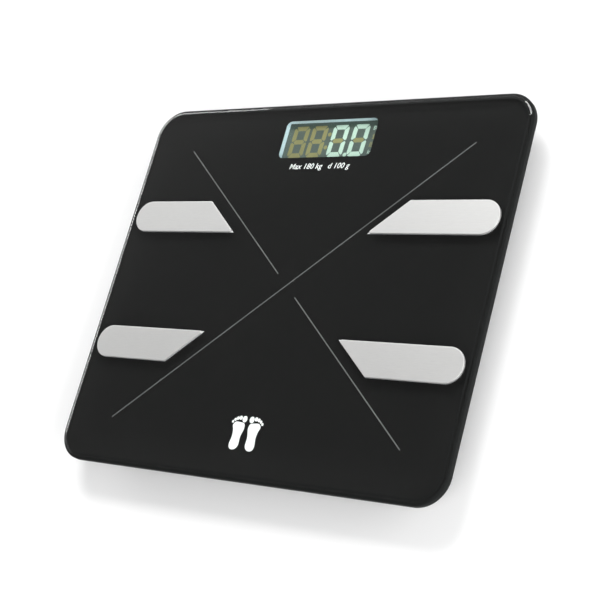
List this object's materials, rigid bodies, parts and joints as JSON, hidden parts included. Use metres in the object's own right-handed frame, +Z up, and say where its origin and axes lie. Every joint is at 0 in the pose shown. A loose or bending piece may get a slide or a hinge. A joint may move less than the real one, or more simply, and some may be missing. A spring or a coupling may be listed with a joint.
{
  "type": "digital bathroom scale",
  "caption": "Flat digital bathroom scale: dark glass platform with steel electrodes and display window on a shallow plastic housing, weighed by sprung feet on load cells.",
  "frame": {"origin": "on the floor, under the middle of the glass platform", "axes": "+X to the right, +Y from the standing edge to the display edge, +Z up"},
  "size_m": [0.305, 0.26, 0.0252],
  "materials": {
    "platform_glass": "gloss",
    "electrode_steel": "satin",
    "clear_adhesive": "gloss",
    "white_insulator": "satin",
    "terminal_brass": "satin",
    "screw_steel": "satin",
    "foam_tape": "matte",
    "dark_foam": "matte",
    "grey_abs": "matte",
    "black_abs": "matte",
    "white_abs": "satin",
    "lcd_glass": "satin",
    "backlight_plastic": "satin",
    "silicone_rubber": "matte",
    "circuit_board": "satin",
    "chip_epoxy": "satin",
    "component_ceramic": "satin",
    "white_silicone": "satin",
    "wire_red": "satin",
    "wire_black": "satin",
    "spring_steel": "satin",
    "battery_jacket": "satin",
    "load_cell_steel": "satin",
    "label_paper": "satin",
    "pad_rubber": "matte"
  },
  "bodies": {
    "scale_body": {"glass_platform": "platform_glass", "electrode_front_left": "electrode_steel", "electrode_front_right": "electrode_steel", "electrode_rear_left": "electrode_steel", "electrode_rear_right": "electrode_steel", "electrode_tapes": "clear_adhesive", "electrode_grommets": "white_insulator", "ring_terminals": "terminal_brass", "electrode_nuts": "screw_steel", "platform_tape": "foam_tape", "upper_frame": "grey_abs", "base_housing": "black_abs", "housing_screws": "screw_steel", "display_bezel": "white_abs", "display_gasket": "dark_foam", "lcd_panel": "lcd_glass", "lcd_backlight": "backlight_plastic", "zebra_strip": "silicone_rubber", "main_board": "circuit_board", "board_screws": "screw_steel", "controller_chip": "chip_epoxy", "board_components": "component_ceramic", "unit_switch": "chip_epoxy", "wire_connectors": "white_insulator", "load_cell_front_left": "load_cell_steel", "load_cell_front_right": "load_cell_steel", "load_cell_rear_left": "load_cell_steel", "load_cell_rear_right": "load_cell_steel", "strain_gauges": "white_silicone", "cell_retainers": "grey_abs", "retainer_screws": "screw_steel", "load_cell_leads": "wire_red", "electrode_leads": "wire_black", "battery_leads": "wire_red", "battery_springs": "spring_steel", "battery_contacts": "spring_steel", "battery_left": "battery_jacket", "battery_right": "battery_jacket", "rating_label": "label_paper"},
    "foot_front_left": {"foot_cup_front_left": "grey_abs", "foot_pad_front_left": "pad_rubber"},
    "foot_front_right": {"foot_cup_front_right": "grey_abs", "foot_pad_front_right": "pad_rubber"},
    "foot_rear_left": {"foot_cup_rear_left": "grey_abs", "foot_pad_rear_left": "pad_rubber"},
    "foot_rear_right": {"foot_cup_rear_right": "grey_abs", "foot_pad_rear_right": "pad_rubber"},
    "unit_button": {"unit_button": "grey_abs", "switch_plunger": "white_insulator"},
    "battery_cover": {"battery_cover": "black_abs"}
  },
  "joints": [
    {"name": "foot_front_left_travel", "type": "slide", "parent": "scale_body", "child": "foot_front_left", "axis": [0, 0, 1], "range_m": [0, 0.0004], "stiffness_N_per_m": 1100000, "deforming": ["load_cell_front_left"]},
    {"name": "foot_front_right_travel", "type": "slide", "parent": "scale_body", "child": "foot_front_right", "axis": [0, 0, 1], "range_m": [0, 0.0004], "stiffness_N_per_m": 1100000, "deforming": ["load_cell_front_right"]},
    {"name": "foot_rear_left_travel", "type": "slide", "parent": "scale_body", "child": "foot_rear_left", "axis": [0, 0, 1], "range_m": [0, 0.0004], "stiffness_N_per_m": 1100000, "deforming": ["load_cell_rear_left"]},
    {"name": "foot_rear_right_travel", "type": "slide", "parent": "scale_body", "child": "foot_rear_right", "axis": [0, 0, 1], "range_m": [0, 0.0004], "stiffness_N_per_m": 1100000, "deforming": ["load_cell_rear_right"]},
    {"name": "unit_button_press", "type": "slide", "parent": "scale_body", "child": "unit_button", "axis": [0, 0, 1], "range_m": [0, 0.0004], "stiffness_N_per_m": 3000},
    {"name": "battery_cover_hinge", "type": "hinge", "parent": "scale_body", "child": "battery_cover", "pos_m": [0, 0.0165, 0.0065], "axis": [1, 0, 0], "range_deg": [0, 90]}
  ]
}
